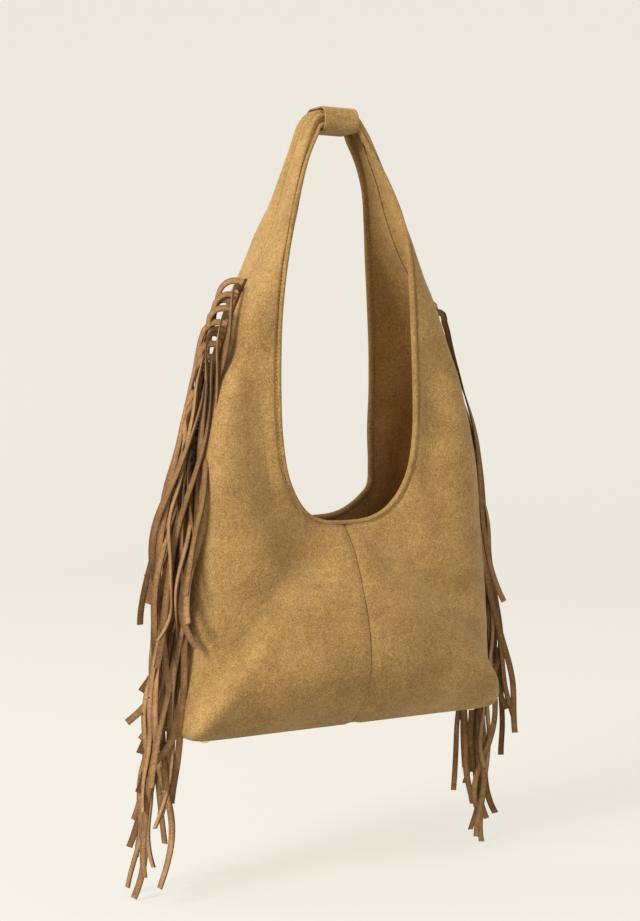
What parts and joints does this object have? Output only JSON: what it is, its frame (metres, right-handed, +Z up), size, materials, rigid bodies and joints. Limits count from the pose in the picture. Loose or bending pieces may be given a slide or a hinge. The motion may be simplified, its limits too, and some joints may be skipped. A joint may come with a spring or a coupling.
{
  "type": "fringed shoulder bag",
  "caption": "Slouchy suede shoulder bag with a deep U opening, one-piece arms that meet in a keeper, and long cut fringe down both side seams.",
  "frame": {"origin": "middle of the flat underside of the keeper at the top of the handle, where a hook or hand carries the bag", "axes": "+Z up, +X to the right seen from the front, front faces -Y"},
  "size_m": [0.391, 0.1518, 0.683],
  "materials": {
    "suede_body": "golden tan suede, short mottled nap",
    "suede_binding": "golden tan suede tape, folded and stitched",
    "suede_fringe": "brown tan suede strands, cut edges",
    "lining_cloth": "tan microsuede lining",
    "board_fibre": "stiffener board, hidden",
    "foot_metal": "polished pale gold",
    "washer_metal": "plain steel, hidden"
  },
  "bodies": {
    "root": {"front_panel_left": "suede_body", "front_panel_right": "suede_body", "back_panel_left": "suede_body", "back_panel_right": "suede_body", "base_panel": "suede_body", "handle_keeper": "suede_body", "front_opening_binding": "suede_binding", "back_opening_binding": "suede_binding", "left_fringe": "suede_fringe", "right_fringe": "suede_fringe", "lining_front": "lining_cloth", "lining_back": "lining_cloth", "lining_base": "lining_cloth", "base_board": "board_fibre", "foot_front_left": "foot_metal", "foot_front_right": "foot_metal", "foot_back_left": "foot_metal", "foot_back_right": "foot_metal", "foot_washer_front_left": "washer_metal", "foot_washer_front_right": "washer_metal", "foot_washer_back_left": "washer_metal", "foot_washer_back_right": "washer_metal"}
  },
  "joints": []
}
